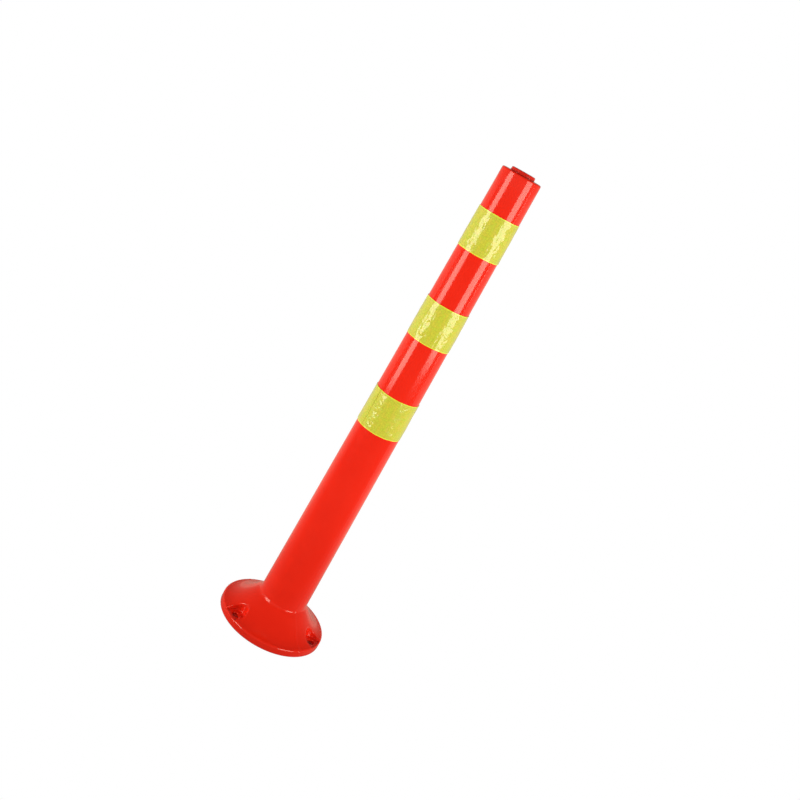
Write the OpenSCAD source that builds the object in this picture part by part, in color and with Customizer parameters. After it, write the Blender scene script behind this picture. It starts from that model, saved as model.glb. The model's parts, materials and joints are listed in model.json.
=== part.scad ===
// Flexible delineator post: a hollow moulded tube on a domed anchor flange,
// with three prismatic reflective bands and a press-in plug in its top.
// Millimetres, +Z up. The origin is the centre of the flange's underside, on
// the ground. One anchor pocket points along -Y, and the mould's parting plane
// is the XZ plane.
//
// The tube and flange are one flexible moulding. It is drawn as three solids,
// cut square across: the anchored flange, the root that bends when the post
// is knocked over, and the tube above it.

/* [Tube] */
// Height of the tube's shoulder above the ground
tube_h = 745; // [600:5:1000]
// Outer diameter that the tube's taper reaches at the ground
tube_foot_d = 75; // [60:0.5:90]
// Outer diameter at the shoulder
tube_top_d = 57; // [46:0.5:60]
// Wall thickness of the tube
tube_wall = 3.5; // [2.5:0.25:5]
// Thickness of the closed top end
tube_end_t = 4; // [3:0.5:6]
// Radius of the rounded edge at the shoulder
shoulder_r = 2.2; // [1:0.1:3]

/* [Flange] */
// Diameter of the flange
flange_d = 164; // [154:1:200]
// Height of the flange's rim
rim_h = 12; // [10:0.5:14]
// Radius of the rim's rounded upper edge
rim_edge_r = 3.5; // [2:0.25:5]
// Bevel of the rim's lower edge
rim_foot_bevel = 0.8; // [0.4:0.1:1.5]
// Width of the rim's ring where it rests on the ground
rim_wall = 5; // [4:0.5:7]
// Height at which the dome meets the tube
crease_h = 46; // [40:1:52]
// Size of the fillet between dome and tube
crease_fillet = 4.5; // [2:0.5:6]
// Steepness of the dome below the fillet, in degrees
dome_slope = 46; // [38:1:52]
// Fall of the ledge towards the rim, in degrees
ledge_slope = 12; // [8:1:18]
// Wall thickness of the dome
dome_wall = 4; // [3:0.25:5]

/* [Anchor pockets] */
// Number of anchor pockets
pocket_count = 3; // [3:1:4]
// Diameter of the circle through the anchor holes
anchor_pcd = 140; // [132:1:144]
// Width of a pocket, room for a washer and a socket
pocket_d = 28; // [26:0.5:33]
// Height of a pocket's floor above the ground
pocket_floor_h = 9.5; // [8:0.5:12]
// Diameter of an anchor hole
anchor_hole_d = 12; // [9:0.5:16]
// Wall thickness round a pocket, inside the dome
pocket_wall = 3.5; // [2.5:0.25:4]

/* [Underside ribs] */
// Number of stiffening ribs between the root and the rim
rib_count = 6; // [6:3:12]
// Thickness of a rib
rib_t = 3; // [2:0.25:4]
// Gap between a rib's lower edge and the ground
rib_lift = 3; // [1:0.5:6]

/* [Bending root] */
// Height where the bending root begins
root_low_h = 60; // [56:1:70]
// Height where the bending root ends
root_high_h = 180; // [160:5:220]

/* [Reflective bands] */
// Width of a band, measured up the post
band_w = 57.5; // [40:0.5:70]
// Height of the upper band's top edge
band_top_h = 687; // [660:1:700]
// Height of the middle band's top edge
band_middle_h = 550.5; // [530:0.5:570]
// Height of the lower band's top edge
band_bottom_h = 407; // [380:1:430]
// Thickness of the band's film
band_t = 0.4; // [0.2:0.05:0.8]
// Thickness of the adhesive under the film
band_glue_t = 0.05; // [0.02:0.01:0.1]

/* [Top plug] */
// Diameter of the plug's head
plug_head_d = 35; // [30:0.5:40]
// Height of the head above the shoulder
plug_head_h = 5; // [3:0.25:7]
// Radius of the head's rounded upper edge
plug_edge_r = 1.5; // [0.75:0.25:2.5]
// Diameter of the hole that the plug presses into
plug_hole_d = 26; // [20:0.5:28]
// Clearance between plug and hole, all round
plug_fit = 0.1; // [0.05:0.05:0.3]
// How far the barb stands out beyond the hole
barb_reach = 1.2; // [0.6:0.1:2]
// Length of the barb's tapered skirt
barb_h = 9; // [5:0.5:14]
// Wall thickness of the plug
plug_wall = 2.5; // [1.5:0.25:4]

/* [Hidden] */
$fn = 96;

// Points on each rounded outline
curve_steps = 10;
fillet_steps = 5;
// How far a cutter runs past the face it cuts
over = 1;
// Length of the dome outline's end handles, as a share of its span
dome_handle = 0.32;

flange_r = flange_d / 2;
foot_r = tube_foot_d / 2;
top_r = tube_top_d / 2;
pocket_r = pocket_d / 2;
anchor_r = anchor_pcd / 2;
pocket_step = 360 / pocket_count;
first_pocket = -90;

plug_head_r = plug_head_d / 2;
plug_stem_r = plug_hole_d / 2 - plug_fit;
barb_r = plug_hole_d / 2 + barb_reach;
barb_high_h = tube_h - tube_end_t - plug_fit;

red = [0.90, 0.13, 0.07];
lime = [0.84, 0.87, 0.25];
plug_red = [0.80, 0.10, 0.06];

// Tube's outer radius at height z
function tube_r(z) = foot_r + (top_r - foot_r) * z / tube_h;

// Tube's inner radius at height z
function bore_r(z) = tube_r(z) - tube_wall;

// Direction that falls outwards at an angle below the horizontal
function falling(angle) = [cos(angle), -sin(angle)];

// Points of an arc from angle a0 to a1
function arc(centre, r, a0, a1, steps) = [
    for (i = [0 : steps]) let (a = a0 + (a1 - a0) * i / steps)
        centre + r * [cos(a), sin(a)]
];

// Points of a curve through p0 and p3 that leaves and arrives along p1 and p2
function curve(p0, p1, p2, p3, steps) = [
    for (i = [0 : steps]) let (t = i / steps, s = 1 - t)
        s * s * s * p0 + 3 * s * s * t * p1 + 3 * s * t * t * p2 + t * t * t * p3
];

// Points of a fillet that rounds the corner between a and b
function fillet(a, corner, b, steps) =
    curve(a, (a + 2 * corner) / 3, (b + 2 * corner) / 3, b, steps);

// Bell outline from its upper end, falling at dome_slope, to its lower end
function bell(upper, lower) =
    let (handle = dome_handle * norm(lower - upper))
    curve(upper, upper + handle * falling(dome_slope),
          lower - handle * falling(ledge_slope), lower, curve_steps);

// Outer outline of the moulding from the foot of the rim to height z_end
function outer_outline(z_end) =
    let (
        rim_centre = [flange_r - rim_edge_r, rim_h - rim_edge_r],
        rim_arc = arc(rim_centre, rim_edge_r, 0, 90 - ledge_slope, fillet_steps),
        ridge = rim_arc[fillet_steps],
        crease = [tube_r(crease_h), crease_h],
        fillet_low = crease + crease_fillet * falling(dome_slope),
        fillet_top = [tube_r(crease_h + crease_fillet), crease_h + crease_fillet],
        dome = bell(fillet_low, ridge),
        root = fillet(fillet_low, crease, fillet_top, fillet_steps)
    )
    concat(
        [[flange_r - rim_foot_bevel, 0], [flange_r, rim_foot_bevel]],
        rim_arc,
        [for (i = [curve_steps - 1 : -1 : 1]) dome[i]],
        root,
        [[tube_r(z_end), z_end]]
    );

// Inner outline of the moulding, from height z_end down to the ground
function inner_outline(z_end) =
    let (
        upper = [bore_r(crease_h), crease_h - tube_wall],
        lower = [flange_r - rim_wall, rim_h - dome_wall]
    )
    concat([[bore_r(z_end), z_end]], bell(upper, lower), [[flange_r - rim_wall, 0]]);

// Solid of revolution under the outer outline, up to height z_end
module solid_moulding(z_end) {
    rotate_extrude()
        polygon(concat([[0, 0]], outer_outline(z_end), [[0, z_end]]));
}

// Hollow ring of tube wall between two heights
module tube_ring(z_low, z_high) {
    rotate_extrude() polygon([
        [bore_r(z_low), z_low], [tube_r(z_low), z_low],
        [tube_r(z_high), z_high], [bore_r(z_high), z_high]
    ]);
}

// Places its children at each anchor hole, on the ground
module at_anchors() {
    for (i = [0 : pocket_count - 1])
        rotate([0, 0, first_pocket + i * pocket_step])
            translate([anchor_r, 0, 0]) children();
}

// Ribs and pocket bosses that fill parts of the dome's hollow
module underside_stiffeners() {
    intersection() {
        solid_moulding(root_low_h);
        union() {
            at_anchors() cylinder(r = pocket_r + pocket_wall, h = root_low_h);
            for (i = [0 : rib_count - 1])
                rotate([0, 0, first_pocket + i * 360 / rib_count])
                    translate([bore_r(0), -rib_t / 2, rib_lift])
                        cube([flange_r - rim_wall / 2 - bore_r(0), rib_t, crease_h]);
        }
    }
}

// Space cut out by one anchor pocket: round at its inner end, open through the rim
module pocket_space() {
    translate([0, 0, pocket_floor_h]) {
        cylinder(r = pocket_r, h = root_low_h);
        translate([0, -pocket_r, 0]) cube([flange_r, pocket_d, root_low_h]);
    }
}

// Domed flange with its collar, anchor pockets and holes
module base_flange() {
    color(red)
        difference() {
            union() {
                rotate_extrude()
                    polygon(concat(outer_outline(root_low_h), inner_outline(root_low_h)));
                underside_stiffeners();
            }
            // Keeps the bore clear where a rib meets the root
            translate([0, 0, -over]) cylinder(r = bore_r(root_low_h), h = crease_h + over);
            at_anchors() {
                pocket_space();
                translate([0, 0, -over]) cylinder(d = anchor_hole_d, h = root_low_h);
            }
        }
}

// Length of tube that bends when the post is pushed over
module flex_root() {
    color(red) tube_ring(root_low_h, root_high_h);
}

// Tube above the root, closed at the top round the plug's hole
module post_tube() {
    shoulder_z = tube_h - shoulder_r;
    end_z = tube_h - tube_end_t;
    shoulder = arc([tube_r(shoulder_z) - shoulder_r, shoulder_z], shoulder_r, 0, 90, fillet_steps);
    hole_r = plug_hole_d / 2;
    color(red)
        rotate_extrude()
            polygon(concat(
                [[bore_r(root_high_h), root_high_h], [tube_r(root_high_h), root_high_h]],
                shoulder,
                [[hole_r, tube_h], [hole_r, end_z], [bore_r(end_z), end_z]]
            ));
}

// Film wrapped round the tube below height z_top, on a line of adhesive
module reflective_band(z_top) {
    z_low = z_top - band_w;
    inner = band_glue_t;
    outer = band_glue_t + band_t;
    color(lime)
        rotate_extrude() polygon([
            [tube_r(z_low) + inner, z_low], [tube_r(z_low) + outer, z_low],
            [tube_r(z_top) + outer, z_top], [tube_r(z_top) + inner, z_top]
        ]);
}

// Hollow press-in plug: a round head on the shoulder and a barbed skirt below
module top_plug() {
    head_top = tube_h + plug_head_h;
    edge = arc([plug_head_r - plug_edge_r, head_top - plug_edge_r], plug_edge_r, 0, 90, fillet_steps);
    core_r = plug_stem_r - plug_wall;
    color(plug_red)
        rotate_extrude()
            polygon(concat(
                [[0, tube_h + plug_wall], [core_r, tube_h + plug_wall]],
                [[core_r, barb_high_h - barb_h], [plug_stem_r, barb_high_h - barb_h]],
                [[barb_r, barb_high_h], [plug_stem_r, barb_high_h], [plug_stem_r, tube_h]],
                [[plug_head_r, tube_h]],
                edge,
                [[0, head_top]]
            ));
}

base_flange();
flex_root();
post_tube();
reflective_band(band_top_h);  // reflective_band_top
reflective_band(band_middle_h);  // reflective_band_middle
reflective_band(band_bottom_h);  // reflective_band_bottom
top_plug();
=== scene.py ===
"""Flexible delineator post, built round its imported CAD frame.

A one-piece moulded tube and flange, three prismatic reflective bands and a
press-in top plug, on a plain pale floor in soft studio light. Metres, +Z up.
"""

import json
import math
import struct

import bmesh
import bpy
from bpy.props import FloatProperty, FloatVectorProperty, IntProperty, PointerProperty
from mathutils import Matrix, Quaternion, Vector, noise


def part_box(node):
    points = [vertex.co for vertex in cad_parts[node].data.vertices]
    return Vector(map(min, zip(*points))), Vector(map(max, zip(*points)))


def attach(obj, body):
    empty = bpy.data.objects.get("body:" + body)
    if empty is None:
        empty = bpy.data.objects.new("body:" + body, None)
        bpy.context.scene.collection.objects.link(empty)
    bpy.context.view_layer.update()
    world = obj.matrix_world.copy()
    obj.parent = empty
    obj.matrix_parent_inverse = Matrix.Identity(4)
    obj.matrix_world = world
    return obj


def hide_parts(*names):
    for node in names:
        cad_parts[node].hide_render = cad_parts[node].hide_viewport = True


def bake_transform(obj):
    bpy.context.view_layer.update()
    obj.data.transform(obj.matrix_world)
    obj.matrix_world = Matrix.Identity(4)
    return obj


bl_info = {
    "name": "Delineator Post",
    "version": (1, 0, 0),
    "blender": (4, 5, 0),
    "location": "3D View > Sidebar > Post",
    "description": "Models a flexible delineator post round its CAD frame",
    "category": "Add Mesh",
}

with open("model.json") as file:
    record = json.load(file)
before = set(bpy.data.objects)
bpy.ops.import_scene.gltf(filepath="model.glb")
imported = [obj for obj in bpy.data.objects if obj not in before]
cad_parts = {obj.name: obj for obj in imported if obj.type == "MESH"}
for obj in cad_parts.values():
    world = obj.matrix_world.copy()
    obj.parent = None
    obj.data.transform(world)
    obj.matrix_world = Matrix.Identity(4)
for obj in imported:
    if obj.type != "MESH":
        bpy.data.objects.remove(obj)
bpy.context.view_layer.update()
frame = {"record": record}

MM = 0.001
FLANGE_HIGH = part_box("base_flange")[1]
ROOT_LOW, ROOT_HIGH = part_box("flex_root")
TUBE_LOW, TUBE_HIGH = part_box("post_tube")
PLUG_LOW, PLUG_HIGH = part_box("top_plug")
BAND_NODES = ("reflective_band_top", "reflective_band_middle", "reflective_band_bottom")
ANCHORS = {m["name"]: m["dims"] for m in frame["record"]["mounts"]}["anchor_holes"]
ANCHOR_RADIUS = ANCHORS["pcd_mm"] * MM / 2
HOLE_RADIUS = ANCHORS["hole_r_mm"] * MM
FIRST_POCKET = math.radians(-90)
FLANGE_RADIUS = round(FLANGE_HIGH.x, 3)
OVERCUT = 1 * MM  # how far a cutter reaches past the surface that it opens
TINY = 1e-9  # keeps a division away from zero


def linear(hex_colour):
    """Linear RGBA of an sRGB hex colour"""
    parts = [int(hex_colour[i:i + 2], 16) / 255 for i in (1, 3, 5)]
    return tuple(p / 12.92 if p <= 0.04045 else ((p + 0.055) / 1.055) ** 2.4 for p in parts) + (1.0,)


# ---------------------------------------------------------------- settings


def length(name, description, default, low, high):
    """Property for a length, its values given in millimetres"""
    return FloatProperty(
        name=name, description=description, default=default * MM, min=low * MM, max=high * MM,
        unit="LENGTH")


def colour(name, description, default):
    """Property for a colour, its default given as linear RGBA"""
    return FloatVectorProperty(
        name=name, description=description, default=default, size=4, min=0, max=1, subtype="COLOR")


class PostSizes(bpy.types.PropertyGroup):
    """Sizes of the post that its frame doesn't give"""

    tube_wall: length("Tube wall", "Wall thickness of the tube", 3.5, 2, 6)
    end_wall: length("End wall", "Thickness of the tube's closed top end", 4, 2, 8)
    shoulder_round: length("Shoulder round", "Radius of the rounded edge at the shoulder", 2.2, 1, 4)
    rim_height: length("Rim height", "Height of the flange's rim", 12, 8, 16)
    rim_round: length("Rim round", "Radius of the rim's upper edge", 3.5, 1, 6)
    rim_bevel: length("Rim bevel", "Bevel of the rim's lower edge", 0.8, 0.2, 2)
    rim_wall: length("Rim wall", "Width of the ring that rests on the ground", 5, 3, 8)
    crease_height: length("Crease height", "Height at which the dome meets the tube", 46, 35, 54)
    crease_fillet: length("Crease fillet", "Size of the fillet between dome and tube", 4.5, 1, 6)
    dome_slope: FloatProperty(
        name="Dome slope", description="Steepness of the dome below the fillet",
        default=math.radians(46), subtype="ANGLE")
    ledge_slope: FloatProperty(
        name="Ledge slope", description="Fall of the ledge towards the rim",
        default=math.radians(12), subtype="ANGLE")
    dome_wall: length("Dome wall", "Wall thickness of the dome", 4, 2, 6)
    pocket_radius: length("Pocket radius", "Half the width of an anchor pocket", 14, 12, 17)
    pocket_floor: length("Pocket floor", "Height of a pocket's floor", 9.5, 7, 12)
    pocket_wall: length("Pocket wall", "Wall thickness round a pocket", 3.5, 2, 5)
    pocket_round: length("Pocket round", "Radius of a pocket's upper edge", 1.4, 0.5, 3)
    rib_count: IntProperty(
        name="Ribs", description="Number of ribs under the dome", default=6, min=3, max=12)
    rib_wall: length("Rib wall", "Thickness of a rib", 3, 2, 5)
    rib_lift: length("Rib lift", "Gap between a rib and the ground", 3, 1, 6)
    seam_height: length("Seam height", "How far the mould's parting line stands out", 0.3, 0, 1)
    plug_hole: length("Plug hole", "Radius of the hole that the plug presses into", 13, 8, 15)
    plug_round: length("Plug round", "Radius of the plug head's upper edge", 1.5, 0.5, 3)
    plug_wall: length("Plug wall", "Wall thickness of the plug", 2.5, 1.5, 4)
    film_thickness: length("Film thickness", "Thickness of the reflective film", 0.4, 0.1, 1)
    film_wave: length("Film wave", "How unevenly the film lies on the tube", 0.5, 0, 1)


class PostColours(bpy.types.PropertyGroup):
    """Colours of the post's materials and of the studio"""

    moulding: colour("Moulding", "Orange-red polyurethane of the tube and flange", linear("#EE2A16"))
    moulding_deep: colour("Moulding, deep", "Deeper red of the pigment's clouds", linear("#DE200F"))
    plug: colour("Plug", "Red of the top plug", linear("#E02512"))
    film_yellow: colour("Film, yellow", "Yellow cells of the prismatic film", linear("#D0CB3A"))
    film_green: colour("Film, green", "Greenish cells of the prismatic film", linear("#BFD036"))
    # Painted glow: the lighter lime that is painted along the film's cut edges
    painted_edge_glow: colour("Film edge", "Fluorescent glow along the film's cut edges", linear("#DCF540"))
    floor: colour("Floor", "Pale studio floor", linear("#FFFFFF"))
    warm: colour("Warm light", "Warm white that the studio throws on the post", (1.0, 0.86, 0.70, 1.0))


class StudioSettings(bpy.types.PropertyGroup):
    """Camera of the studio, which its lights turn with"""

    camera_turn: FloatProperty(
        name="Camera turn", description="Direction of the camera, turned from -Y towards +X",
        default=math.radians(43), subtype="ANGLE")
    camera_distance: FloatProperty(
        name="Camera distance", description="Level distance from the post's axis to the camera",
        default=1.289, min=0.5, max=10, unit="LENGTH")
    camera_height: FloatProperty(
        name="Camera height", description="Height of the camera above the ground",
        default=0.774, min=0, max=5, unit="LENGTH")
    aim_height: FloatProperty(
        name="Aim height", description="Height on the post's axis that the camera aims at",
        default=0.4005, min=0, max=2, unit="LENGTH")
    aim_swing: FloatProperty(
        name="Aim swing", description="How far the camera looks to the right of the axis",
        default=math.radians(0.275), subtype="ANGLE")
    camera_roll: FloatProperty(
        name="Camera roll", description="Roll that leans the post to the right",
        default=math.radians(29.64), subtype="ANGLE")
    lens: FloatProperty(
        name="Lens", description="Focal length on a 36 mm sensor",
        default=43.3, min=10, max=200)


# ------------------------------------------------------------ mesh helpers


def deselect_all():
    """Leaves no object selected"""
    if bpy.context.object and bpy.context.object.mode != "OBJECT":
        bpy.ops.object.mode_set(mode="OBJECT")
    bpy.ops.object.select_all(action="DESELECT")


def edit(obj):
    """Opens one object in edit mode with nothing selected in it"""
    deselect_all()
    obj.select_set(True)
    bpy.context.view_layer.objects.active = obj
    bpy.ops.object.mode_set(mode="EDIT")
    bpy.ops.mesh.select_mode(type="VERT")
    bpy.ops.mesh.select_all(action="DESELECT")


def finish_edit(obj, smooth_angle=math.radians(38)):
    """Merges doubles, turns the faces outwards, leaves edit mode and smooths the shading"""
    bpy.ops.mesh.select_all(action="SELECT")
    bpy.ops.mesh.remove_doubles(threshold=0.01 * MM)
    bpy.ops.mesh.normals_make_consistent(inside=False)
    bpy.ops.object.mode_set(mode="OBJECT")
    bpy.ops.object.shade_smooth_by_angle(angle=smooth_angle)


def outline_object(name, points, closed):
    """New object whose mesh is a chain of edges through (radius, height) points at +X"""
    mesh = bpy.data.meshes.new(name)
    edges = [(i, i + 1) for i in range(len(points) - 1)]
    if closed:
        edges.append((len(points) - 1, 0))
    mesh.from_pydata([(r, 0, z) for r, z in points], edges, [])
    obj = bpy.data.objects.new(name, mesh)
    bpy.context.collection.objects.link(obj)
    return obj


def spin(stretches):
    """Spins the selected outline about Z through a row of (angle, steps) stretches"""
    for angle, steps in stretches:
        bpy.ops.mesh.spin(
            steps=steps, angle=angle, center=(0, 0, 0), axis=(0, 0, 1), dupli=False,
            use_auto_merge=False)


def lathe(name, points, stretches, closed=True):
    """Object turned from an outline: the outline is spun all the way round"""
    obj = outline_object(name, points, closed)
    edit(obj)
    bpy.ops.mesh.select_all(action="SELECT")
    spin(stretches)
    finish_edit(obj)
    return obj


def cylinder(name, radius, low, high, centre=(0, 0), vertices=96):
    """Upright cylinder between two heights"""
    deselect_all()
    bpy.ops.mesh.primitive_cylinder_add(
        vertices=vertices, radius=radius, depth=high - low,
        location=(centre[0], centre[1], (low + high) / 2))
    obj = bpy.context.object
    obj.name = name
    bpy.ops.object.transform_apply(location=True, rotation=True, scale=True)
    return obj


def boolean(obj, other, operation):
    """Applies a boolean with another object, which is then removed"""
    deselect_all()
    obj.select_set(True)
    bpy.context.view_layer.objects.active = obj
    modifier = obj.modifiers.new(operation.title(), "BOOLEAN")
    modifier.operation = operation
    modifier.solver = "EXACT"
    modifier.object = other
    bpy.ops.object.modifier_apply(modifier=modifier.name)
    bpy.data.objects.remove(other)


def join(objects):
    """Joins objects into the first one"""
    deselect_all()
    for obj in objects:
        obj.select_set(True)
    bpy.context.view_layer.objects.active = objects[0]
    bpy.ops.object.join()
    return objects[0]


def select_edges(obj, test):
    """Selects the edges of the edited mesh that pass a test"""
    bpy.ops.mesh.select_mode(type="EDGE")
    bpy.ops.mesh.select_all(action="DESELECT")
    mesh = bmesh.from_edit_mesh(obj.data)
    for edge in mesh.edges:
        edge.select_set(test(edge))
    bmesh.update_edit_mesh(obj.data)


def rounded(point):
    """A point at the precision that a mesh stores"""
    return Vector(struct.unpack("3f", struct.pack("3f", *point)))


def place_selected(obj, place):
    """Moves each selected vertex of the edited mesh to place(position)"""
    mesh = bmesh.from_edit_mesh(obj.data)
    for vertex in mesh.verts:
        if vertex.select:
            vertex.co = place(vertex.co.copy())
    bmesh.update_edit_mesh(obj.data)


def arc(centre, radius, start, end, steps):
    """Points of an arc, angles in degrees"""
    angles = [math.radians(start + (end - start) * i / steps) for i in range(steps + 1)]
    return [Vector((centre[0] + radius * math.cos(a), centre[1] + radius * math.sin(a))) for a in angles]


def curve(p0, p1, p2, p3, steps):
    """Points of a curve from p0 to p3 that leaves towards p1 and arrives from p2"""
    points = []
    for i in range(steps + 1):
        t = i / steps
        s = 1 - t
        points.append(s * s * s * p0 + 3 * s * s * t * p1 + 3 * s * t * t * p2 + t * t * t * p3)
    return points


def fillet(start, corner, end, steps):
    """Points that round the corner between start and end"""
    return curve(start, (start + 2 * corner) / 3, (end + 2 * corner) / 3, end, steps)


def falling(angle):
    """Direction that falls outwards at an angle below the horizontal"""
    return Vector((math.cos(angle), -math.sin(angle)))


def eased(value):
    """Eases from 0, at a value of 0 or less, to 1, at a value of 1 or more"""
    share = min(max(value, 0), 1)
    return share * share * (3 - 2 * share)


def levels(low, high, spacing):
    """Even heights from low to high, about spacing apart, both ends included"""
    count = max(1, round(abs(high - low) / spacing))
    return [low + (high - low) * i / count for i in range(count + 1)]


# ---------------------------------------------------------------- outlines


def tube_radius(z):
    """Outer radius of the tapered tube at a height"""
    taper = (TUBE_HIGH.x - ROOT_HIGH.x) / (TUBE_LOW.z - ROOT_LOW.z)
    return ROOT_HIGH.x + taper * (z - ROOT_LOW.z)


def bell(upper, lower, sizes, steps):
    """Outline of the dome, from its fillet down to the ledge"""
    handle = 0.32 * (lower - upper).length
    return curve(
        upper, upper + handle * falling(sizes.dome_slope),
        lower - handle * falling(sizes.ledge_slope), lower, steps)


def dome_outline(sizes):
    """Outer outline from the rim's side up to the tube"""
    rim_centre = Vector((FLANGE_RADIUS - sizes.rim_round, sizes.rim_height - sizes.rim_round))
    rim = arc(rim_centre, sizes.rim_round, 0, 90 - math.degrees(sizes.ledge_slope), steps=8)
    crease = Vector((tube_radius(sizes.crease_height), sizes.crease_height))
    fillet_low = crease + sizes.crease_fillet * falling(sizes.dome_slope)
    fillet_high = Vector((
        tube_radius(sizes.crease_height + sizes.crease_fillet),
        sizes.crease_height + sizes.crease_fillet))
    dome = bell(fillet_low, rim[-1], sizes, steps=26)
    return rim + dome[-2:0:-1] + fillet(fillet_low, crease, fillet_high, steps=7)


def dome_height(outline, radius):
    """Height of the dome's outer surface at a radius, between points of its outline"""
    for outer, inner in zip(outline, outline[1:]):
        if inner.x <= radius <= outer.x:
            share = (outer.x - radius) / max(outer.x - inner.x, TINY)
            return outer.y + share * (inner.y - outer.y)
    return outline[0].y if radius > outline[0].x else outline[-1].y


def moulding_outline(sizes):
    """Closed outline of the whole moulding: up its outside and down its inside"""
    # The root bends, so its points lie closer together than those of the rest
    root_step, root_bore_step = 3 * MM, 6 * MM
    tube_step, tube_bore_step = 18 * MM, 40 * MM
    top = TUBE_HIGH.z
    foot = [Vector((FLANGE_RADIUS - sizes.rim_bevel, 0)), Vector((FLANGE_RADIUS, sizes.rim_bevel))]
    dome = dome_outline(sizes)
    shoulder_z = top - sizes.shoulder_round
    shoulder_centre = (tube_radius(shoulder_z) - sizes.shoulder_round, shoulder_z)
    outside = levels(dome[-1].y, ROOT_LOW.z, root_step)[1:-1]
    outside += levels(ROOT_LOW.z, ROOT_HIGH.z, root_step)[:-1]
    outside += levels(ROOT_HIGH.z, shoulder_z, tube_step)[:-1]
    tube = [Vector((tube_radius(z), z)) for z in outside]
    shoulder = arc(shoulder_centre, sizes.shoulder_round, 0, 90, steps=6)
    lip = 0.6 * MM
    hole = [
        Vector((sizes.plug_hole + lip, top)), Vector((sizes.plug_hole, top - lip)),
        Vector((sizes.plug_hole, top - sizes.end_wall))]
    inside = levels(top - sizes.end_wall, ROOT_HIGH.z, tube_bore_step)[:-1]
    inside += levels(ROOT_HIGH.z, ROOT_LOW.z, root_bore_step)
    bore = [Vector((tube_radius(z) - sizes.tube_wall, z)) for z in inside]
    root_z = sizes.crease_height - sizes.tube_wall
    root = Vector((tube_radius(root_z) - sizes.tube_wall, root_z))
    ring = FLANGE_RADIUS - sizes.rim_wall
    hollow = bell(root, Vector((ring, sizes.rim_height - sizes.dome_wall)), sizes, steps=12)
    return foot + dome + tube + shoulder + hole + bore + hollow + [Vector((ring, 0))]


# ---------------------------------------------------------------- moulding


SEAM_STEP = math.radians(0.6)  # turn between two upright rows of points beside the parting line


def pocket_axis(index):
    """Point on the ground under the axis of one anchor pocket"""
    angle = FIRST_POCKET + index * math.tau / ANCHORS["count"]
    return Vector((ANCHOR_RADIUS * math.cos(angle), ANCHOR_RADIUS * math.sin(angle), 0))


def raise_seam(obj, sizes):
    """Raises the mould's parting line on the outside, where the XZ plane cuts it"""
    foot = sizes.rim_bevel + 0.1 * MM
    shoulder = TUBE_HIGH.z - sizes.shoulder_round
    # The line is as high as its size on the flange, and half as high on the tube
    for low, high, height in (
            (foot, sizes.crease_height, sizes.seam_height),
            (sizes.crease_height, shoulder, 0.5 * sizes.seam_height)):
        # The row of points on the line rises in full, and the rows beside it by a little over half
        for share, nearest, furthest in ((1.0, 0, 0.25), (0.55, 0.75, 1.25)):
            edit(obj)
            mesh = bmesh.from_edit_mesh(obj.data)
            for vertex in mesh.verts:
                away = abs(math.atan2(vertex.co.y, abs(vertex.co.x))) / SEAM_STEP
                outside = vertex.normal.xy.dot(vertex.co.xy) > 0 or vertex.normal.z > 0.5
                vertex.select_set(nearest <= away < furthest and outside and low < vertex.co.z < high)
            bmesh.update_edit_mesh(obj.data)
            bpy.ops.transform.shrink_fatten(value=share * height)
            bpy.ops.object.mode_set(mode="OBJECT")


def tighten_crease(obj, sizes, right):
    """Tightens the fillet between dome and tube on one side, right being the direction of that side"""
    corner = Vector((tube_radius(sizes.crease_height), sizes.crease_height))
    most = 0.6  # share of its size that the fillet loses where it is tightest
    begins, ends = -0.1, 0.3  # how far towards that side it starts to tighten, and is tightest
    edit(obj)
    mesh = bmesh.from_edit_mesh(obj.data)
    for vertex in mesh.verts:
        radius = vertex.co.xy.length
        away = max(abs(radius - corner.x), abs(vertex.co.z - corner.y))
        outside = vertex.normal.xy.dot(vertex.co.xy) > 0
        vertex.select_set(away < sizes.crease_fillet and outside)
    bmesh.update_edit_mesh(obj.data)

    def tightened(point):
        towards = math.cos(math.atan2(point.y, point.x) - right)
        size = 1 - most * eased((towards - begins) / (ends - begins))
        flat = corner + size * (Vector((point.xy.length, point.z)) - corner)
        around = point.xy.normalized()
        return Vector((flat.x * around.x, flat.x * around.y, flat.y))

    place_selected(obj, tightened)
    bpy.ops.object.mode_set(mode="OBJECT")


def rib(turn, inner, outer, sizes):
    """Upright rib from the tube's bore out to the rim"""
    bpy.ops.mesh.primitive_cube_add(
        size=1, rotation=(0, 0, turn),
        location=(
            (inner + outer) / 2 * math.cos(turn), (inner + outer) / 2 * math.sin(turn),
            sizes.rib_lift + sizes.crease_height / 2),
        scale=(outer - inner, sizes.rib_wall, sizes.crease_height))
    bpy.ops.object.transform_apply(location=True, rotation=True, scale=True)
    return bpy.context.object


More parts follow.
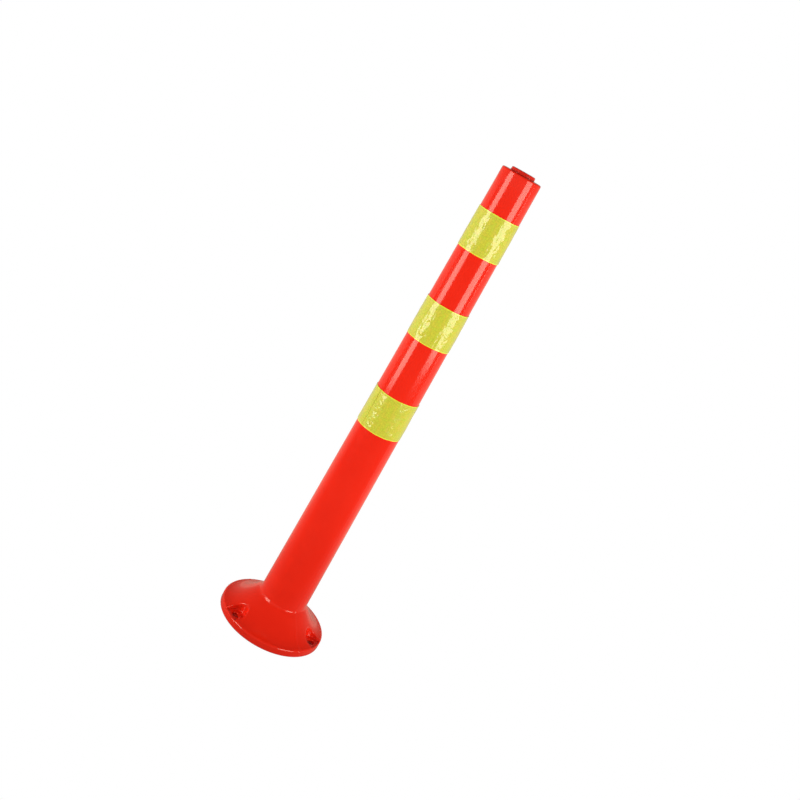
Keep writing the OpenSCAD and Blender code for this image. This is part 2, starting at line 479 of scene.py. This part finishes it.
def add_stiffeners(obj, sizes):
    """Adds the pocket bosses and the ribs under the dome"""
    boss = sizes.pocket_radius + sizes.pocket_wall
    # A rib starts well inside the bore, which is cleared below, and ends inside the rim's wall
    inner = tube_radius(0) - sizes.tube_wall - 5 * MM
    outer = FLANGE_RADIUS - sizes.rim_wall / 2
    stiffeners = join([
        cylinder("stiffeners", boss, 0, ROOT_LOW.z, pocket_axis(i), vertices=72)
        for i in range(ANCHORS["count"])])
    for i in range(sizes.rib_count):
        turn = FIRST_POCKET + i * math.tau / sizes.rib_count
        boolean(stiffeners, rib(turn, inner, outer, sizes), "UNION")
    # The stiffeners end inside the dome's wall and the tube's, short of the dome's outer surface
    # and of the bore
    inset = 2 * MM
    bore_inset = 1 * MM
    slant = Vector((inset, inset)) * 0.7
    envelope = [Vector((0, 0)), Vector((FLANGE_RADIUS - inset, 0))]
    envelope += [point - slant for point in dome_outline(sizes)]
    envelope += [Vector((0, envelope[-1].y))]
    boolean(stiffeners, lathe("envelope", envelope, [(math.tau, 120)], closed=False), "INTERSECT")
    bore = tube_radius(sizes.crease_height) - sizes.tube_wall + bore_inset
    boolean(stiffeners, cylinder("bore", bore, -OVERCUT, 2 * ROOT_LOW.z), "DIFFERENCE")
    boolean(obj, stiffeners, "UNION")


def mouth_rim(sizes):
    """Radius of the rim at the height of the pocket floors"""
    centre_z = sizes.rim_height - sizes.rim_round
    rise = max(sizes.pocket_floor - centre_z, 0)
    return FLANGE_RADIUS - sizes.rim_round + math.sqrt(sizes.rim_round ** 2 - rise ** 2)


def pocket_reach(axis, direction, half_width, rim):
    """Level distance from a pocket's axis to its side, or to its open end at the rim"""
    out = axis.normalized()
    side = half_width
    if direction.dot(out) > 0:
        side = half_width / max(abs(direction.cross(out).z), TINY)
    inward = axis.dot(direction)
    to_rim = math.sqrt(max(inward ** 2 + rim ** 2 - axis.length_squared, 0)) - inward
    return min(side, to_rim)


def pocket_path(axis, start, sizes, outline):
    """Points down the side of a pocket, from a point of its mouth to the foot of its hole"""
    level = Vector((start.x, start.y, 0)) - axis
    level.normalize()
    rounding = sizes.pocket_round
    floor = sizes.pocket_floor
    draft = 0.3 * MM
    hole_round = 0.8 * MM

    def at(moved, height):
        half_width = sizes.pocket_radius + rounding - moved
        reach = pocket_reach(axis, level, half_width, mouth_rim(sizes) - moved)
        return axis + reach * level + Vector((0, 0, height))

    corner_z = max(dome_height(outline, at(rounding, 0).xy.length), floor)
    depth = corner_z - floor
    foot = min(1.5 * MM, 0.4 * depth)
    wall = rounding + draft
    side = corner_z - min(rounding, 0.45 * depth)
    mouth = fillet(start, at(rounding, corner_z), at(rounding, side), steps=4)
    base = fillet(at(wall, floor + foot), at(wall, floor), at(wall + max(foot, 0.5 * MM), floor), steps=3)

    def round_hole(radius, height):
        return axis + radius * level + Vector((0, 0, height))

    hole = fillet(
        round_hole(HOLE_RADIUS + hole_round, floor), round_hole(HOLE_RADIUS, floor),
        round_hole(HOLE_RADIUS, floor - hole_round), steps=3)
    middle = (mouth[-1] + base[0]) / 2
    halfway = (base[-1] + hole[0]) / 2
    return mouth[1:] + [middle] + base + [halfway] + hole + [round_hole(HOLE_RADIUS, hole_round)]


def pocket_mouth(axis, radius, low, high):
    """Cutter of a pocket's mouth: round at its inner end, and open through the rim"""
    reach = FLANGE_HIGH.x
    turn = math.atan2(axis.y, axis.x)
    middle = axis + axis.normalized() * reach / 2
    mouth = cylinder("mouth", radius, low, high, axis, vertices=120)
    bpy.ops.mesh.primitive_cube_add(
        size=1, rotation=(0, 0, turn), location=(middle.x, middle.y, (low + high) / 2),
        scale=(reach, 2 * radius, high - low))
    bpy.ops.object.transform_apply(location=True, rotation=True, scale=True)
    boolean(mouth, bpy.context.object, "UNION")
    return mouth


def open_pockets(obj, sizes):
    """Opens the mouths of the anchor pockets, and their holes"""
    axes = [pocket_axis(i) for i in range(ANCHORS["count"])]
    top = 2 * ROOT_LOW.z
    radius = sizes.pocket_radius + sizes.pocket_round
    mouths = join([pocket_mouth(axis, radius, sizes.pocket_floor, top) for axis in axes])
    boolean(obj, mouths, "DIFFERENCE")
    holes = join([cylinder("holes", HOLE_RADIUS, -OVERCUT, top, axis, vertices=64) for axis in axes])
    boolean(obj, holes, "DIFFERENCE")


def shape_pocket(obj, axis, sizes, outline):
    """Gives one opened pocket its walls, extruded ring by ring from its mouth to its hole"""
    mouth = sizes.pocket_radius + sizes.pocket_round + 0.01 * MM
    touch = 0.05 * MM  # how near its height a face counts as lying on the floor or the dome
    out = axis.normalized()
    side = Vector((-out.y, out.x, 0))

    def inside(point):
        local = point - axis
        return local.xy.length < mouth or (local.dot(out) > 0 and abs(local.dot(side)) < mouth)

    edit(obj)
    bpy.ops.mesh.select_mode(type="FACE")
    mesh = bmesh.from_edit_mesh(obj.data)
    for face in mesh.faces:
        centre = face.calc_center_median()
        below = touch < centre.z < dome_height(outline, centre.xy.length) - touch
        on_floor = abs(centre.z - sizes.pocket_floor) < touch and face.normal.z > 0.9
        upright = abs(face.normal.z) < 0.2
        in_hole = (centre - axis).xy.length < HOLE_RADIUS + 0.1 * MM
        cut = on_floor or (upright and (centre.z > sizes.pocket_floor or in_hole))
        face.select_set(inside(centre) and below and cut)
    bmesh.update_edit_mesh(obj.data)
    bpy.ops.mesh.delete(type="FACE")

    def near(edge):
        middle = (edge.verts[0].co + edge.verts[1].co) / 2
        return edge.is_boundary and (middle - axis).xy.length < 2 * mouth

    above_foot = 2 * MM
    select_edges(obj, lambda edge: near(edge) and min(v.co.z for v in edge.verts) > above_foot)
    mesh = bmesh.from_edit_mesh(obj.data)
    paths = {
        tuple(vertex.co): pocket_path(axis, vertex.co.copy(), sizes, outline)
        for vertex in mesh.verts if vertex.select}
    for step in range(len(next(iter(paths.values())))):
        bpy.ops.mesh.extrude_edges_move()
        place_selected(obj, lambda point: paths[tuple(point)][step])
        paths = {tuple(rounded(path[step])): path for path in paths.values()}
    select_edges(obj, near)
    bpy.ops.mesh.bridge_edge_loops()
    bpy.ops.object.mode_set(mode="OBJECT")


class DELINEATOR_OT_moulding(bpy.types.Operator):
    """Models the one-piece tube and flange, with its pockets, ribs and parting line"""

    bl_idname = "delineator.moulding"
    bl_label = "Tube and Flange"

    def execute(self, context):
        sizes = context.scene.post_sizes
        outline = dome_outline(sizes)
        beside = 2 * SEAM_STEP
        half = math.pi - 2 * beside
        post = lathe(
            "post_moulding", moulding_outline(sizes),
            [(beside, 2), (half, 116), (2 * beside, 4), (half, 116), (beside, 2)])
        tighten_crease(post, sizes, context.scene.post_studio.camera_turn)
        raise_seam(post, sizes)
        add_stiffeners(post, sizes)
        open_pockets(post, sizes)
        for index in range(ANCHORS["count"]):
            shape_pocket(post, pocket_axis(index), sizes, outline)
        edit(post)
        finish_edit(post)
        post.data.materials.append(moulded_polyurethane(context.scene.post_colours))
        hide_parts("base_flange", "flex_root", "post_tube")
        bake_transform(post)
        return {"FINISHED"}


# ------------------------------------------------------------------- bands


OUTER_SPACING = 2 * MM  # height between two points of a film's outer side
INNER_SPACING = 6 * MM  # the same on its glued side
GLUE = 0.05 * MM  # thickness of the adhesive
FILM_STEPS = 260  # steps of a film's whole way round, lap included
LAP_STEPS = 10  # steps of its lap
FILM_STARTS = (165, 178, -58)  # where each film starts, in degrees from the front, upper band first

# Air blisters under each film, upper band first: their places, as the turn from the front and the
# share of the film's width, and then their radius and height
BLISTERS = (
    ([(0.78, 0.60), (0.86, 0.78), (0.70, 0.86), (-0.62, 0.08), (-0.75, 0.2)], 3.2 * MM, 0.5 * MM),
    ([(-0.42, 0.20), (-0.34, 0.32), (-0.22, 0.30), (-0.16, 0.18), (-0.28, 0.12)], 3.4 * MM, 0.65 * MM),
    ([(0.05 * math.sin(9 * share) - 0.36, share)
      for share in (0.1, 0.2, 0.33, 0.45, 0.56, 0.68, 0.78, 0.9)], 2.8 * MM, 0.55 * MM),
)


def film_outline(low, high, sizes):
    """Closed outline of the film's cross-section between two heights"""
    face = GLUE + sizes.film_thickness
    outer = [Vector((tube_radius(z) + face, z)) for z in levels(low, high, OUTER_SPACING)]
    inner = [Vector((tube_radius(z) + GLUE, z)) for z in levels(high, low, INNER_SPACING)]
    return outer + inner


def lay_film(obj, count, low, high, sizes, seed, start):
    """Wraps a film of count points a step, lifts its lapped end, and lets it lie a little unevenly"""
    outer_count = len(levels(low, high, OUTER_SPACING))
    width = high - low
    lap_begins = FILM_STEPS - 2 * LAP_STEPS
    turned = Vector((0, 0, 7.3 * seed))  # gives each band waves of its own
    for vertex in obj.data.vertices:
        step = vertex.index // count
        outer = vertex.index % count < outer_count
        x, y, z = vertex.co
        radius = math.hypot(x, y)
        angle = start + math.tau * step / (FILM_STEPS - LAP_STEPS)
        lift = eased((step - lap_begins) / LAP_STEPS) * (sizes.film_thickness + GLUE)
        around = Vector((math.cos(angle), math.sin(angle), 0))
        # Slow waves about 28 mm long up the tube, and ripples about 7 mm long
        coarse = noise.noise(around * 2.6 + turned + Vector((0, 0, z / (28 * MM))))
        fine = noise.noise(around * 9 + turned + Vector((0, 0, z / (7 * MM))))
        wave = sizes.film_wave * (0.45 + 0.45 * coarse + 0.65 * fine) if outer else 0
        radius += lift + max(wave, 0)
        # The upper and lower edges wander by up to a quarter of a millimetre
        edge_wave = 0.25 * MM * noise.noise(around * 3.1 + turned)
        from_middle = 2 * (z - low) / width - 1
        vertex.co = (radius * math.cos(angle), radius * math.sin(angle), z + edge_wave * from_middle)


def raise_blisters(obj, front, low, high, places, radius, height):
    """Raises small blisters where air is caught under the film"""
    for turn, share in places:
        z = low + share * (high - low)
        angle = front + turn
        centre = Vector((tube_radius(z) * math.cos(angle), tube_radius(z) * math.sin(angle), z))
        for vertex in obj.data.vertices:
            away = (vertex.co - centre).length / radius
            if away < 1:
                out = Vector((vertex.co.x, vertex.co.y, 0)).normalized()
                vertex.co += out * height * (1 - away * away) ** 2


def cap_ends(obj, count):
    """Closes both ends of a film of count points a step"""
    total = len(obj.data.vertices)
    for first, end in ((0, count), (total - count, total)):
        select_edges(obj, lambda e: e.is_boundary and all(first <= v.index < end for v in e.verts))
        bpy.ops.mesh.edge_face_add()


def film_uv(obj, low):
    """Lays the film flat: u runs round the tube and v up from its lower edge, both in metres"""
    layer = obj.data.uv_layers.new(name="film")
    for face in obj.data.polygons:
        turns = []
        for index in face.vertices:
            x, y = obj.data.vertices[index].co.xy
            turns.append(math.atan2(y, x))
        spread = max(turns) - min(turns) > math.pi
        for loop, turn in zip(face.loop_indices, turns):
            z = obj.data.vertices[obj.data.loops[loop].vertex_index].co.z
            whole = turn + math.tau if spread and turn < 0 else turn
            layer.data[loop].uv = (whole * tube_radius(z), z - low)


class DELINEATOR_OT_bands(bpy.types.Operator):
    """Models the three bands of reflective film, each wrapped round the tube and lapped on itself"""

    bl_idname = "delineator.bands"
    bl_label = "Reflective Bands"

    def execute(self, context):
        sizes = context.scene.post_sizes
        first_low, first_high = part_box(BAND_NODES[0])
        material = prismatic_film(context.scene.post_colours, first_high.z - first_low.z)
        front = context.scene.post_studio.camera_turn - math.pi / 2
        for seed, (node, start, blisters) in enumerate(zip(BAND_NODES, FILM_STARTS, BLISTERS)):
            low, high = (corner.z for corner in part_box(node))
            outline = film_outline(low, high, sizes)
            count = len(outline)
            band = outline_object(node + "_film", outline, closed=True)
            edit(band)
            bpy.ops.mesh.select_all(action="SELECT")
            # Short of a full turn, so that its ends stay apart until each step is laid in its place
            spin([(0.99 * math.tau, FILM_STEPS)])
            bpy.ops.object.mode_set(mode="OBJECT")
            lay_film(band, count, low, high, sizes, seed, front + math.radians(start))
            raise_blisters(band, front, low, high, *blisters)
            edit(band)
            cap_ends(band, count)
            finish_edit(band)
            film_uv(band, low)
            band.data.materials.append(material)
            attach(band, "post")
            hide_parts(node)
        return {"FINISHED"}


# -------------------------------------------------------------------- plug


class DELINEATOR_OT_plug(bpy.types.Operator):
    """Models the press-in plug: a round head with a shallow dish, and a barbed skirt"""

    bl_idname = "delineator.plug"
    bl_label = "Top Plug"

    def execute(self, context):
        sizes = context.scene.post_sizes
        head = PLUG_HIGH.x
        top = PLUG_HIGH.z
        shoulder = TUBE_HIGH.z
        play = 0.1 * MM
        stem = sizes.plug_hole - play
        barb = stem + 1.2 * MM
        barb_z = shoulder - sizes.end_wall - play
        core = stem - sizes.plug_wall
        core_z = shoulder + sizes.plug_wall
        seat_z = shoulder + 0.15 * MM
        taper = 0.45 * MM
        bevel = 0.5 * MM
        bevel_height = 0.4 * MM
        edge_centre = (head - taper - sizes.plug_round, top - sizes.plug_round)
        edge = arc(edge_centre, sizes.plug_round, 5, 90, steps=7)
        skirt = [
            Vector((0, core_z)), Vector((core, core_z)), Vector((core, PLUG_LOW.z)),
            Vector((stem, PLUG_LOW.z)), Vector((barb, barb_z)), Vector((stem, barb_z))]
        seat = [
            Vector((stem, seat_z)), Vector((head - bevel, seat_z)), Vector((head, seat_z + bevel_height))]
        # The dish begins inside a flat ring, and the moulding's gate stands up at its middle
        dish_z = top - 0.35 * MM
        ring = edge[-1].x - 1.5 * MM
        dish = [Vector((ring, top)), Vector((ring - 1.1 * MM, dish_z)), Vector((3 * MM, dish_z))]
        gate = [Vector((2.4 * MM, top - 0.1 * MM)), Vector((1.2 * MM, top)), Vector((0, top))]
        points = skirt + seat + edge + dish + gate
        plug = lathe("top_plug_moulding", points, [(math.tau, 144)], closed=False)
        plug.data.materials.append(moulded_polypropylene(context.scene.post_colours))
        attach(plug, "post")
        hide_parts("top_plug")
        return {"FINISHED"}


# --------------------------------------------------------------- materials


def add_node(tree, kind, settings=None, inputs=None):
    """Adds a node, sets its properties, and links or sets its inputs"""
    node = tree.nodes.new(kind)
    for key, value in (settings or {}).items():
        setattr(node, key, value)
    for key, value in (inputs or {}).items():
        if isinstance(value, bpy.types.NodeSocket):
            tree.links.new(value, node.inputs[key])
        else:
            node.inputs[key].default_value = value
    return node


def new_material(name):
    """Empty node material with its output, and its tree"""
    material = bpy.data.materials.new(name)
    material.use_nodes = True
    tree = material.node_tree
    tree.nodes.clear()
    return material, tree


def moulded_polyurethane(colours):
    """Glossy moulded polyurethane: soft-edged reflections over a faint orange peel"""
    material, tree = new_material("moulded_polyurethane")
    where = add_node(tree, "ShaderNodeTexCoord").outputs["Object"]
    # Pigment clouds about 60 mm across vary the red a little
    clouds = add_node(tree, "ShaderNodeTexNoise", inputs={
        "Vector": where, "Scale": 1 / (60 * MM), "Detail": 3.0, "Roughness": 0.5})
    tint = add_node(tree, "ShaderNodeMix", {"data_type": "RGBA"}, {
        "Factor": clouds.outputs["Fac"], "A": tuple(colours.moulding), "B": tuple(colours.moulding_deep)})
    # Handling scuffs up to about 9 mm across dull the gloss in patches
    scuffs = add_node(tree, "ShaderNodeTexNoise", inputs={
        "Vector": where, "Scale": 1 / (9 * MM), "Detail": 6.0, "Roughness": 0.7})
    dull = add_node(tree, "ShaderNodeMapRange", inputs={
        "Value": scuffs.outputs["Fac"], "From Min": 0.35, "From Max": 0.75,
        "To Min": 0.1, "To Max": 0.17})
    # Orange peel about 5 mm across, and slow ripples of the mould about 35 mm long
    peel = add_node(tree, "ShaderNodeTexNoise", inputs={
        "Vector": where, "Scale": 1 / (5 * MM), "Detail": 2.0, "Roughness": 0.5})
    ripple = add_node(tree, "ShaderNodeTexNoise", inputs={
        "Vector": where, "Scale": 1 / (35 * MM), "Detail": 1.0, "Roughness": 0.4})
    ripple_bump = add_node(tree, "ShaderNodeBump", inputs={
        "Strength": 0.3, "Distance": 0.6 * MM, "Height": ripple.outputs["Fac"]})
    peel_bump = add_node(tree, "ShaderNodeBump", inputs={
        "Strength": 0.1, "Distance": 0.03 * MM, "Height": peel.outputs["Fac"],
        "Normal": ripple_bump.outputs["Normal"]})
    shader = add_node(tree, "ShaderNodeBsdfPrincipled", inputs={
        "Base Color": tint.outputs["Result"], "Roughness": dull.outputs["Result"],
        "IOR": 1.49, "Normal": peel_bump.outputs["Normal"]})
    add_node(tree, "ShaderNodeOutputMaterial", inputs={"Surface": shader.outputs["BSDF"]})
    return material


def moulded_polypropylene(colours):
    """Injection-moulded polypropylene: a soft-edged gloss, a little deeper red than the post"""
    material, tree = new_material("moulded_polypropylene")
    where = add_node(tree, "ShaderNodeTexCoord").outputs["Object"]
    # Fine scuffs up to about 4 mm across vary the gloss and the red
    scuffs = add_node(tree, "ShaderNodeTexNoise", inputs={
        "Vector": where, "Scale": 1 / (4 * MM), "Detail": 5.0, "Roughness": 0.65})
    dull = add_node(tree, "ShaderNodeMapRange", inputs={
        "Value": scuffs.outputs["Fac"], "From Min": 0.3, "From Max": 0.8,
        "To Min": 0.14, "To Max": 0.2})
    shade = add_node(tree, "ShaderNodeMix", {"data_type": "RGBA"}, {
        "Factor": scuffs.outputs["Fac"], "A": tuple(colours.plug), "B": tuple(colours.moulding_deep)})
    bump = add_node(tree, "ShaderNodeBump", inputs={
        "Strength": 0.05, "Distance": 0.02 * MM, "Height": scuffs.outputs["Fac"]})
    shader = add_node(tree, "ShaderNodeBsdfPrincipled", inputs={
        "Base Color": shade.outputs["Result"], "Roughness": dull.outputs["Result"],
        "IOR": 1.49, "Normal": bump.outputs["Normal"]})
    add_node(tree, "ShaderNodeOutputMaterial", inputs={"Surface": shader.outputs["BSDF"]})
    return material


def prismatic_film(colours, width):
    """Fluorescent prismatic film: glittering cells under a clear, slightly wavy face"""
    material, tree = new_material("prismatic_film")
    cell_size = 3.5 * MM
    fleck_size = 1.1 * MM
    flat = add_node(tree, "ShaderNodeUVMap", {"uv_map": "film"}).outputs["UV"]
    # Cells of microprisms about 3.5 mm across, some greener than others
    cells = add_node(tree, "ShaderNodeTexVoronoi", {"voronoi_dimensions": "2D"}, {
        "Vector": flat, "Scale": 1 / cell_size, "Randomness": 0.55})
    cell_shade = add_node(tree, "ShaderNodeSeparateColor", inputs={"Color": cells.outputs["Color"]})
    tint = add_node(tree, "ShaderNodeMix", {"data_type": "RGBA"}, {
        "Factor": cell_shade.outputs["Red"],
        "A": tuple(colours.film_yellow), "B": tuple(colours.film_green)})
    # Weld lines between the cells are a little darker
    weld = add_node(tree, "ShaderNodeTexVoronoi", {
        "voronoi_dimensions": "2D", "feature": "DISTANCE_TO_EDGE"}, {
        "Vector": flat, "Scale": 1 / cell_size, "Randomness": 0.55})
    line = add_node(tree, "ShaderNodeMapRange", inputs={
        "Value": weld.outputs["Distance"], "From Min": 0.0, "From Max": 0.09,
        "To Min": 0.82, "To Max": 1.0})
    # Glitter flecks are finer than 1 mm, and are drawn as coarse as they need to show
    flecks = add_node(tree, "ShaderNodeTexVoronoi", {"voronoi_dimensions": "2D"}, {
        "Vector": flat, "Scale": 1 / fleck_size, "Randomness": 1.0})
    fleck_shade = add_node(tree, "ShaderNodeSeparateColor", inputs={"Color": flecks.outputs["Color"]})
    glint = add_node(tree, "ShaderNodeMapRange", inputs={
        "Value": fleck_shade.outputs["Green"], "From Min": 0.0, "From Max": 1.0,
        "To Min": 0.92, "To Max": 1.08})
    light = add_node(tree, "ShaderNodeMath", {"operation": "MULTIPLY"}, {
        0: line.outputs["Result"], 1: glint.outputs["Result"]})
    shaded = add_node(tree, "ShaderNodeVectorMath", {"operation": "SCALE"}, {
        0: tint.outputs["Result"], "Scale": light.outputs["Value"]})
    # Painted glow: thin lines of a lighter lime are painted along the cut edges, for the fluorescent
    # light that they gather
    height = add_node(tree, "ShaderNodeSeparateXYZ", inputs={"Vector": flat}).outputs["Y"]
    half = width / 2
    from_middle = add_node(tree, "ShaderNodeMath", {"operation": "SUBTRACT"}, {0: height, 1: half})
    off_middle = add_node(tree, "ShaderNodeMath", {"operation": "ABSOLUTE"}, {
        0: from_middle.outputs["Value"]})
    painted_glow_mask = add_node(tree, "ShaderNodeMapRange", inputs={
        "Value": off_middle.outputs["Value"],
        "From Min": half - 1.4 * MM, "From Max": half - 0.5 * MM})
    painted_glow_mixed = add_node(tree, "ShaderNodeMix", {"data_type": "RGBA"}, {
        "Factor": painted_glow_mask.outputs["Result"],
        "A": shaded.outputs["Vector"], "B": tuple(colours.painted_edge_glow)})
    # Ripples of the clear face about 8 mm long, and the cells' own slight steps
    ripple = add_node(tree, "ShaderNodeTexNoise", {"noise_dimensions": "2D"}, {
        "Vector": flat, "Scale": 1 / (8 * MM), "Detail": 2.0, "Roughness": 0.55})
    ripple_bump = add_node(tree, "ShaderNodeBump", inputs={
        "Strength": 0.8, "Distance": 0.8 * MM, "Height": ripple.outputs["Fac"]})
    prism_bump = add_node(tree, "ShaderNodeBump", inputs={
        "Strength": 0.5, "Distance": 0.12 * MM, "Height": cell_shade.outputs["Green"],
        "Normal": ripple_bump.outputs["Normal"]})
    shader = add_node(tree, "ShaderNodeBsdfPrincipled", inputs={
        "Base Color": painted_glow_mixed.outputs["Result"], "Roughness": 0.42, "IOR": 1.45,
        "Normal": prism_bump.outputs["Normal"], "Coat Weight": 1.0, "Coat Roughness": 0.06,
        "Coat Normal": ripple_bump.outputs["Normal"]})
    add_node(tree, "ShaderNodeOutputMaterial", inputs={"Surface": shader.outputs["BSDF"]})
    return material


def studio_floor(colours, far_side):
    """Matt pale floor as white as the studio, with a painted shadow only under the flange"""
    material, tree = new_material("studio_floor")
    dim, bright = 0.1, 0.7
    where = add_node(tree, "ShaderNodeTexCoord").outputs["Object"]
    distance = add_node(tree, "ShaderNodeVectorMath", {"operation": "LENGTH"}, {0: where})
    away = distance.outputs["Value"]
    # Painted shadow: to the camera the floor is dark under the flange, and white beyond it
    seen = add_node(tree, "ShaderNodeMapRange", inputs={
        "Value": away, "From Min": FLANGE_HIGH.x - 2 * MM, "From Max": FLANGE_HIGH.x,
        "To Min": 0.02, "To Max": 1.0})
    # What the gloss of the post mirrors grows brighter from the near side to the far side
    across = add_node(tree, "ShaderNodeVectorMath", {"operation": "DOT_PRODUCT"}, {
        0: where, 1: far_side})
    mirrored = add_node(tree, "ShaderNodeMapRange", inputs={
        "Value": across.outputs["Value"], "From Min": -0.15, "From Max": 0.3,
        "To Min": dim, "To Max": bright})
    # The light that it scatters is shaded near the post
    scattered = add_node(tree, "ShaderNodeMapRange", inputs={
        "Value": away, "From Min": 0.1, "From Max": 0.45, "To Min": dim, "To Max": bright})
    rays = add_node(tree, "ShaderNodeLightPath").outputs
    strength = add_node(tree, "ShaderNodeMix", {"data_type": "FLOAT"}, {
        "Factor": rays["Is Diffuse Ray"],
        "A": mirrored.outputs["Result"], "B": scattered.outputs["Result"]})
    # The camera is shown the painted shadow under the flange, and everything else is shown the floor's
    # light
    shown = add_node(tree, "ShaderNodeMix", {"data_type": "FLOAT"}, {
        "Factor": rays["Is Camera Ray"],
        "A": strength.outputs["Result"], "B": seen.outputs["Result"]})
    tinted = add_node(tree, "ShaderNodeMix", {"data_type": "RGBA"}, {
        "Factor": rays["Is Camera Ray"], "A": tuple(colours.warm), "B": tuple(colours.floor)})
    paper = add_node(tree, "ShaderNodeEmission", inputs={
        "Color": tinted.outputs["Result"], "Strength": shown.outputs["Result"]})
    add_node(tree, "ShaderNodeOutputMaterial", inputs={"Surface": paper.outputs["Emission"]})
    return material


# ------------------------------------------------------------------- stage


LIGHT_DISTANCE = 1.5
LIGHT_COLOUR = (1.0, 0.92, 0.78)


def softbox(name, turn, distance, low, high, width, brightness):
    """Upright rectangular light between two heights that faces the post's axis"""
    light = bpy.data.lights.new(name, "AREA")
    light.shape = "RECTANGLE"
    light.size = width
    light.size_y = high - low
    light.color = LIGHT_COLOUR
    light.energy = brightness * math.pi * width * (high - low)
    obj = bpy.data.objects.new(name, light)
    obj.location = (distance * math.sin(turn), -distance * math.cos(turn), (low + high) / 2)
    towards = Vector((-obj.location.x, -obj.location.y, 0))
    obj.rotation_euler = towards.to_track_quat("-Z", "Y").to_euler()
    obj.visible_camera = False
    bpy.context.collection.objects.link(obj)
    return obj


class DELINEATOR_OT_stage(bpy.types.Operator):
    """Sets the pale floor, the soft studio lights and the camera"""

    bl_idname = "delineator.stage"
    bl_label = "Stage"

    def execute(self, context):
        studio = context.scene.post_studio
        far_side = (-math.sin(studio.camera_turn), math.cos(studio.camera_turn), 0)
        self.add_floor(context, far_side)
        self.add_lights(studio)
        self.add_world(context)
        self.add_camera(context, studio)
        return {"FINISHED"}

    def add_floor(self, context, far_side):
        deselect_all()
        bpy.ops.mesh.primitive_circle_add(vertices=96, radius=40, fill_type="NGON")
        floor = context.object
        floor.name = "studio_floor"
        floor.data.materials.append(studio_floor(context.scene.post_colours, far_side))

    def add_lights(self, studio):
        turn = studio.camera_turn
        softbox(
            "softbox_left", turn - math.radians(54), LIGHT_DISTANCE,
            low=0.03, high=1.05, width=0.70, brightness=5.6)
        softbox(
            "softbox_right", turn + math.radians(57), LIGHT_DISTANCE,
            low=0.14, high=1.05, width=0.86, brightness=5.5)
        # The fills light the post without showing in its gloss
        for name, side, brightness in (
                ("fill_left", -80, 4.2), ("fill_right", 80, 4.2), ("fill_back", 180, 5)):
            fill = softbox(
                name, turn + math.radians(side), LIGHT_DISTANCE,
                low=0.02, high=0.62, width=1.2, brightness=brightness)
            fill.visible_glossy = False
        # The last hangs over the post and faces down
        top = softbox("fill_top", turn=0, distance=0, low=1.1, high=1.4, width=0.3, brightness=3)
        top.rotation_euler = (0, 0, 0)
        top.visible_glossy = False

    def add_world(self, context):
        world = bpy.data.worlds.new("studio")
        world.use_nodes = True
        tree = world.node_tree
        tree.nodes.clear()
        # Plain to the camera, and a sky that darkens with height to all else
        seen = add_node(tree, "ShaderNodeLightPath").outputs["Is Camera Ray"]
        where = add_node(tree, "ShaderNodeTexCoord").outputs["Generated"]
        height = add_node(tree, "ShaderNodeSeparateXYZ", inputs={"Vector": where}).outputs["Z"]
        fill = add_node(tree, "ShaderNodeMapRange", inputs={
            "Value": height, "From Min": 0.0, "From Max": 0.7, "To Min": 0.45, "To Max": 0.08})
        strength = add_node(tree, "ShaderNodeMath", {"operation": "MAXIMUM"}, {
            0: fill.outputs["Result"], 1: seen})
        colours = context.scene.post_colours
        tinted = add_node(tree, "ShaderNodeMix", {"data_type": "RGBA"}, {
            "Factor": seen, "A": tuple(colours.warm), "B": tuple(colours.floor)})
        sky = add_node(tree, "ShaderNodeBackground", inputs={
            "Color": tinted.outputs["Result"], "Strength": strength.outputs["Value"]})
        add_node(tree, "ShaderNodeOutputWorld", inputs={"Surface": sky.outputs["Background"]})
        context.scene.world = world

    def add_camera(self, context, studio):
        data = bpy.data.cameras.new("camera")
        data.sensor_width = 36
        data.lens = studio.lens
        camera = bpy.data.objects.new("camera", data)
        towards = Vector((math.sin(studio.camera_turn), -math.cos(studio.camera_turn), 0))
        camera.location = towards * studio.camera_distance + Vector((0, 0, studio.camera_height))
        drop = math.atan2(studio.camera_height - studio.aim_height, studio.camera_distance)
        heading = studio.camera_turn - studio.aim_swing
        look = Vector((
            -math.sin(heading) * math.cos(drop), math.cos(heading) * math.cos(drop), -math.sin(drop)))
        roll = Quaternion((0, 0, 1), studio.camera_roll)
        camera.rotation_euler = (look.to_track_quat("-Z", "Y") @ roll).to_euler()
        context.collection.objects.link(camera)
        context.scene.camera = camera
        context.scene.view_settings.view_transform = "Standard"


# ------------------------------------------------------------------- panel


class DELINEATOR_PT_post(bpy.types.Panel):
    """Lists the steps that build the post"""

    bl_idname = "DELINEATOR_PT_post"
    bl_label = "Delineator Post"
    bl_space_type = "VIEW_3D"
    bl_region_type = "UI"
    bl_category = "Post"

    def draw(self, context):
        for step in STEPS:
            self.layout.operator(step.bl_idname)
        for group in (context.scene.post_sizes, context.scene.post_colours, context.scene.post_studio):
            box = self.layout.box()
            for key in group.bl_rna.properties.keys():
                if key not in ("rna_type", "name"):
                    box.prop(group, key)


STEPS = (DELINEATOR_OT_stage, DELINEATOR_OT_moulding, DELINEATOR_OT_bands, DELINEATOR_OT_plug)
CLASSES = (PostSizes, PostColours, StudioSettings) + STEPS + (DELINEATOR_PT_post,)


def register():
    for cls in CLASSES:
        bpy.utils.register_class(cls)
    bpy.types.Scene.post_sizes = PointerProperty(type=PostSizes)
    bpy.types.Scene.post_colours = PointerProperty(type=PostColours)
    bpy.types.Scene.post_studio = PointerProperty(type=StudioSettings)


def unregister():
    del bpy.types.Scene.post_studio
    del bpy.types.Scene.post_colours
    del bpy.types.Scene.post_sizes
    for cls in reversed(CLASSES):
        bpy.utils.unregister_class(cls)


def main():
    register()
    bpy.ops.delineator.stage()
    bpy.ops.delineator.moulding()
    bpy.ops.delineator.bands()
    bpy.ops.delineator.plug()


if __name__ == "__main__":
    main()
